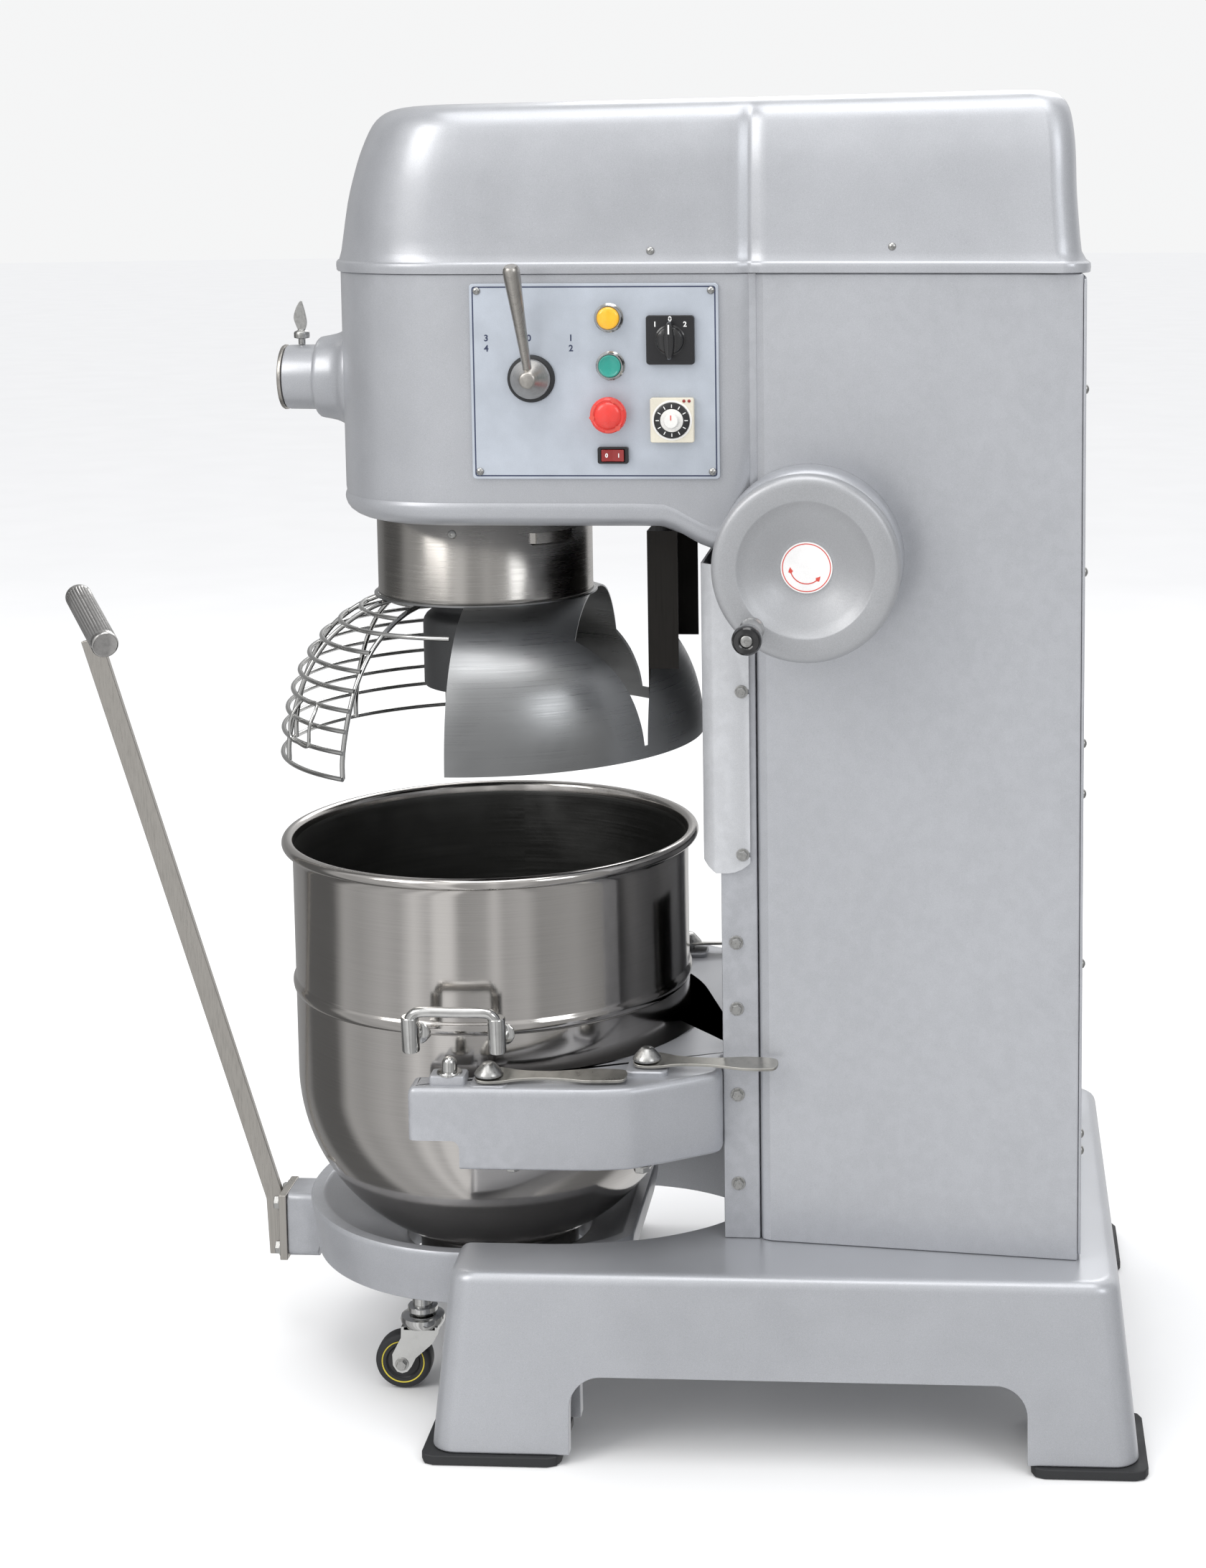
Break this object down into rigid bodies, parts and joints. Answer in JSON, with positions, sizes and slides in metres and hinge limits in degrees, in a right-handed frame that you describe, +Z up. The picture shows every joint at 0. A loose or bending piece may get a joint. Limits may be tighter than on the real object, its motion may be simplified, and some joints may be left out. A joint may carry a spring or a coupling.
{
  "type": "commercial stand mixer",
  "caption": "Floor-standing planetary mixer with a hand-wheel bowl lift, bell-and-cage safety guard, steel bowl, control panel and a wheeled bowl trolley.",
  "frame": {"origin": "middle of the footprint box, on the floor", "axes": "+Z up, -Y the front where the bowl is, +X the side with the control panel and the hand wheel"},
  "size_m": [0.743, 1.2564, 1.4694],
  "materials": {
    "silver_paint": "satin metallic silver enamel",
    "stainless": "polished stainless steel",
    "brushed_stainless": "brushed stainless steel",
    "black_rubber": "matt black rubber",
    "tyre": "black caster tread",
    "black_plastic": "black moulded plastic",
    "panel_sheet": "pale blue-grey printed panel",
    "cream_plastic": "cream plastic",
    "white_plastic": "white plastic",
    "amber_lens": "amber lens",
    "green_button": "green plastic",
    "red_button": "red plastic",
    "machined_steel": "machined steel",
    "dark_cast": "dark cast iron",
    "dark_sheet": "dark stainless sheet",
    "motor_grey": "grey motor enamel",
    "belt_rubber": "black belt rubber"
  },
  "bodies": {
    "machine": {"base_casting": "silver_paint", "foot_pad_front_near": "black_rubber", "foot_pad_front_far": "black_rubber", "foot_pad_rear_near": "black_rubber", "foot_pad_rear_far": "black_rubber", "column_shell": "silver_paint", "rear_cover": "silver_paint", "head_casting": "silver_paint", "hood_cover": "silver_paint", "attachment_hub": "silver_paint", "hub_end_cap": "brushed_stainless", "collar_ring": "stainless", "ring_gear": "machined_steel", "guard_bell": "stainless", "rear_splash_plate": "dark_sheet", "drive_motor": "motor_grey", "drive_belt": "belt_rubber", "control_panel": "panel_sheet", "selector_plate": "black_plastic", "timer_body": "cream_plastic", "rocker_frame": "black_plastic", "shift_gasket": "black_plastic", "wheel_boss": "silver_paint", "slide_way_near": "silver_paint", "slide_way_far": "silver_paint", "way_cover": "silver_paint"},
    "hub_screw": {"hub_thumb_screw": "brushed_stainless"},
    "cage": {"guard_cage": "stainless"},
    "planetary": {"planetary_hub": "dark_cast"},
    "agitator": {"agitator_shaft": "machined_steel"},
    "lay": {"lay_shaft": "machined_steel"},
    "motor_rotor": {"motor_pulley": "dark_cast"},
    "lamp": {"lamp_button": "amber_lens"},
    "start": {"start_button": "green_button"},
    "stop": {"stop_button": "red_button"},
    "selector": {"selector_knob": "black_plastic"},
    "timer": {"timer_dial": "white_plastic"},
    "rocker": {"rocker_switch": "red_button"},
    "shifter": {"shift_lever": "brushed_stainless"},
    "wheel": {"hand_wheel": "silver_paint", "wheel_shaft": "machined_steel"},
    "knob": {"crank_knob": "black_plastic"},
    "screw": {"lift_screw": "machined_steel"},
    "carriage": {"bowl_carriage": "silver_paint"},
    "latch_nf": {"latch_near_front": "brushed_stainless"},
    "latch_nr": {"latch_near_rear": "brushed_stainless"},
    "latch_ff": {"latch_far_front": "brushed_stainless"},
    "latch_fr": {"latch_far_rear": "brushed_stainless"},
    "trolley": {"trolley_dish": "silver_paint", "handle_bar": "brushed_stainless", "handle_grip": "stainless"},
    "bowl": {"bowl": "stainless", "bowl_handle_near": "stainless", "bowl_handle_far": "stainless"},
    "fork_near": {"caster_fork_near": "stainless"},
    "fork_far": {"caster_fork_far": "stainless"},
    "fork_rear": {"caster_fork_rear": "stainless"},
    "wheel_near": {"caster_wheel_near": "tyre"},
    "wheel_far": {"caster_wheel_far": "tyre"},
    "wheel_rear": {"caster_wheel_rear": "tyre"}
  },
  "joints": [
    {"name": "hand_wheel_turn", "type": "hinge", "parent": "machine", "child": "wheel", "pos_m": [0.2595, 0.26673, 0.975], "axis": [1, 0, 0], "range_deg": [0, 3600]},
    {"name": "crank_knob_spin", "type": "hinge", "parent": "wheel", "child": "knob", "pos_m": [0.3595, 0.21173, 0.915], "axis": [1, 0, 0], "continuous": true},
    {"name": "lift_screw_turn", "type": "hinge", "parent": "machine", "child": "screw", "pos_m": [-0.0305, 0.26673, 0.6], "axis": [0, 0, 1], "range_deg": [0, 3600]},
    {"name": "bowl_lift", "type": "slide", "parent": "machine", "child": "carriage", "axis": [0, 0, 1], "range_m": [0, 0.095]},
    {"name": "latch_near_front_swing", "type": "hinge", "parent": "carriage", "child": "latch_nf", "pos_m": [0.2355, -0.08477, 0.409], "axis": [0, 0, 1], "range_deg": [-60, 0]},
    {"name": "latch_near_rear_swing", "type": "hinge", "parent": "carriage", "child": "latch_nr", "pos_m": [0.1915, 0.08323, 0.4136], "axis": [0, 0, 1], "range_deg": [-60, 0]},
    {"name": "latch_far_front_swing", "type": "hinge", "parent": "carriage", "child": "latch_ff", "pos_m": [-0.2965, -0.08477, 0.409], "axis": [0, 0, 1], "range_deg": [0, 60]},
    {"name": "latch_far_rear_swing", "type": "hinge", "parent": "carriage", "child": "latch_fr", "pos_m": [-0.2525, 0.08323, 0.4136], "axis": [0, 0, 1], "range_deg": [0, 60]},
    {"name": "trolley_roll_out", "type": "slide", "parent": "machine", "child": "trolley", "axis": [0, -1, 0], "range_m": [0, 0.6]},
    {"name": "bowl_rise", "type": "slide", "parent": "trolley", "child": "bowl", "axis": [0, 0, 1], "range_m": [0, 0.095]},
    {"name": "caster_near_swivel", "type": "hinge", "parent": "trolley", "child": "fork_near", "pos_m": [0.1195, -0.18877, 0.08], "axis": [0, 0, 1], "continuous": true},
    {"name": "caster_near_roll", "type": "hinge", "parent": "fork_near", "child": "wheel_near", "pos_m": [0.1195, -0.21077, 0.0325], "axis": [1, 0, 0], "continuous": true},
    {"name": "caster_far_swivel", "type": "hinge", "parent": "trolley", "child": "fork_far", "pos_m": [-0.1805, -0.18877, 0.08], "axis": [0, 0, 1], "continuous": true},
    {"name": "caster_far_roll", "type": "hinge", "parent": "fork_far", "child": "wheel_far", "pos_m": [-0.1805, -0.21077, 0.0325], "axis": [1, 0, 0], "continuous": true},
    {"name": "caster_rear_swivel", "type": "hinge", "parent": "trolley", "child": "fork_rear", "pos_m": [-0.0305, 0.01723, 0.08], "axis": [0, 0, 1], "continuous": true},
    {"name": "caster_rear_roll", "type": "hinge", "parent": "fork_rear", "child": "wheel_rear", "pos_m": [-0.0305, -0.00477, 0.0325], "axis": [1, 0, 0], "continuous": true},
    {"name": "guard_cage_swing", "type": "hinge", "parent": "machine", "child": "cage", "pos_m": [-0.0305, -0.12477, 0.85], "axis": [0, 0, 1], "range_deg": [-50, 34]},
    {"name": "planetary_spin", "type": "hinge", "parent": "machine", "child": "planetary", "pos_m": [-0.0305, -0.12477, 0.85], "axis": [0, 0, 1], "continuous": true},
    {"name": "agitator_spin", "type": "hinge", "parent": "planetary", "child": "agitator", "pos_m": [-0.0305, -0.07277, 0.79], "axis": [0, 0, 1], "continuous": true},
    {"name": "lay_shaft_spin", "type": "hinge", "parent": "machine", "child": "lay", "pos_m": [-0.0305, 0.06123, 1.2], "axis": [0, 0, 1], "continuous": true},
    {"name": "motor_spin", "type": "hinge", "parent": "machine", "child": "motor_rotor", "pos_m": [-0.0305, 0.39523, 1.33], "axis": [0, 0, 1], "continuous": true},
    {"name": "gear_shift", "type": "hinge", "parent": "machine", "child": "shifter", "pos_m": [0.1996, -0.03077, 1.167], "axis": [1, 0, 0], "range_deg": [-48, 48]},
    {"name": "lamp_button_press", "type": "slide", "parent": "machine", "child": "lamp", "axis": [-1, 0, 0], "range_m": [0, 0.003], "stiffness_N_per_m": 300, "springref_m": -0.002},
    {"name": "start_button_press", "type": "slide", "parent": "machine", "child": "start", "axis": [-1, 0, 0], "range_m": [0, 0.003], "stiffness_N_per_m": 300, "springref_m": -0.002},
    {"name": "stop_button_press", "type": "slide", "parent": "machine", "child": "stop", "axis": [-1, 0, 0], "range_m": [0, 0.004], "stiffness_N_per_m": 400, "springref_m": -0.002},
    {"name": "selector_turn", "type": "hinge", "parent": "machine", "child": "selector", "pos_m": [0.1976, 0.11913, 1.2081], "axis": [1, 0, 0], "range_deg": [-45, 45]},
    {"name": "timer_turn", "type": "hinge", "parent": "machine", "child": "timer", "pos_m": [0.2006, 0.12043, 1.1229], "axis": [1, 0, 0], "range_deg": [-300, 0]},
    {"name": "rocker_tilt", "type": "hinge", "parent": "machine", "child": "rocker", "pos_m": [0.1976, 0.05623, 1.085], "axis": [0, 0, 1], "range_deg": [-7, 7]},
    {"name": "hub_screw_turn", "type": "hinge", "parent": "machine", "child": "hub_screw", "pos_m": [-0.0305, -0.33377, 1.192], "axis": [0, 0, 1], "continuous": true}
  ],
  "couplings": [
    {"joint": "bowl_lift", "follows": "hand_wheel_turn", "m_per_rad": 0.001512},
    {"joint": "bowl_rise", "follows": "hand_wheel_turn", "m_per_rad": 0.001512},
    {"joint": "lift_screw_turn", "follows": "hand_wheel_turn", "ratio": 1},
    {"joint": "agitator_spin", "follows": "planetary_spin", "ratio": -2.8571},
    {"joint": "lay_shaft_spin", "follows": "planetary_spin", "ratio": -2.0543},
    {"joint": "motor_spin", "follows": "planetary_spin", "ratio": -4.1999}
  ]
}
